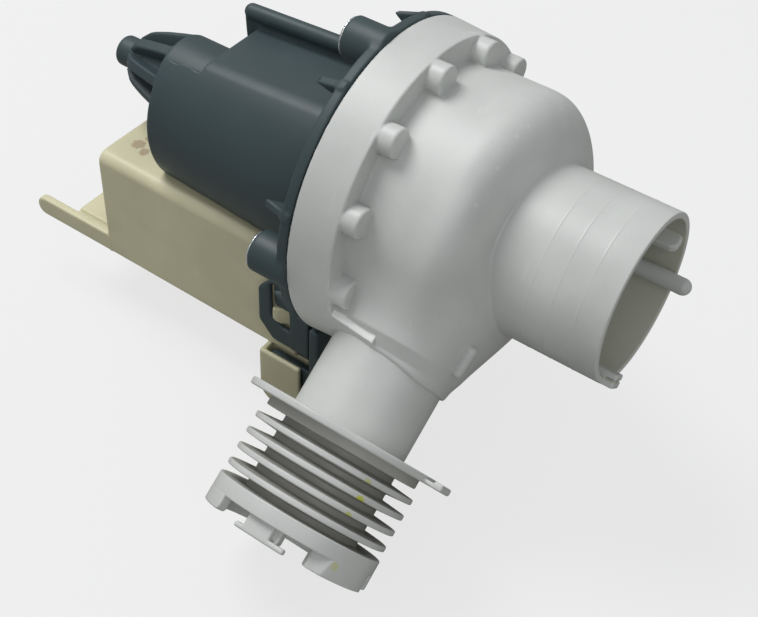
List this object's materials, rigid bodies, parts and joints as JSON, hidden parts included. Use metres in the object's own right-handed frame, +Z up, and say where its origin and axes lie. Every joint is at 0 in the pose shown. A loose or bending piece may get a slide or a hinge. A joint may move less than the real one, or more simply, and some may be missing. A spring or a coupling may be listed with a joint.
{
  "type": "washer drain pump",
  "caption": "Washing machine drain pump: a volute with a wide inlet spigot and a ribbed bayonet outlet, on a synchronous motor whose stator hangs in its own cover.",
  "frame": {"origin": "centre of the inlet spigot's mouth, on the motor axis", "axes": "+X out of the inlet along the motor axis, +Z up with the stator cover below, -Y on the outlet side"},
  "size_m": [0.212, 0.1512, 0.1307],
  "materials": {
    "casing_plastic": "light grey moulded polypropylene",
    "housing_plastic": "dark blue-grey glass-filled moulding",
    "cover_plastic": "cream moulding",
    "inner_plastic": "natural moulding",
    "seal_rubber": "black nitrile",
    "shaft_steel": "ground",
    "screw_steel": "bright zinc",
    "core_steel": "stacked laminations",
    "ferrite": "sintered",
    "bearing": "sintered bronze",
    "copper": "enamelled wire",
    "tab_brass": "tinned"
  },
  "bodies": {
    "pump_body": {"volute_casing": "casing_plastic", "inlet_spigot": "casing_plastic", "casing_seal": "seal_rubber", "motor_housing": "housing_plastic", "bearing_carrier": "inner_plastic", "front_bearing": "bearing", "front_bearing_mount": "seal_rubber", "rear_bearing": "bearing", "rear_bearing_mount": "seal_rubber", "stator_core": "core_steel", "left_bobbin": "inner_plastic", "right_bobbin": "inner_plastic", "left_winding": "copper", "right_winding": "copper", "left_plug_tab": "tab_brass", "right_plug_tab": "tab_brass", "stator_cover": "cover_plastic", "casing_screws": "screw_steel"},
    "rotor": {"rotor_shaft": "shaft_steel", "rotor_magnet": "ferrite", "rotor_sleeve": "inner_plastic", "front_thrust_washer": "inner_plastic", "rear_thrust_washer": "inner_plastic", "driving_dog": "inner_plastic"},
    "impeller_wheel": {"impeller": "inner_plastic", "impeller_cap": "inner_plastic", "impeller_damper": "seal_rubber"}
  },
  "joints": [
    {"name": "rotor_spin", "type": "hinge", "parent": "pump_body", "child": "rotor", "pos_m": [-0.0826, 0, 0], "axis": [1, 0, 0], "continuous": true},
    {"name": "impeller_slip", "type": "hinge", "parent": "rotor", "child": "impeller_wheel", "pos_m": [-0.0826, 0, 0], "axis": [1, 0, 0], "range_deg": [0, 200]}
  ]
}
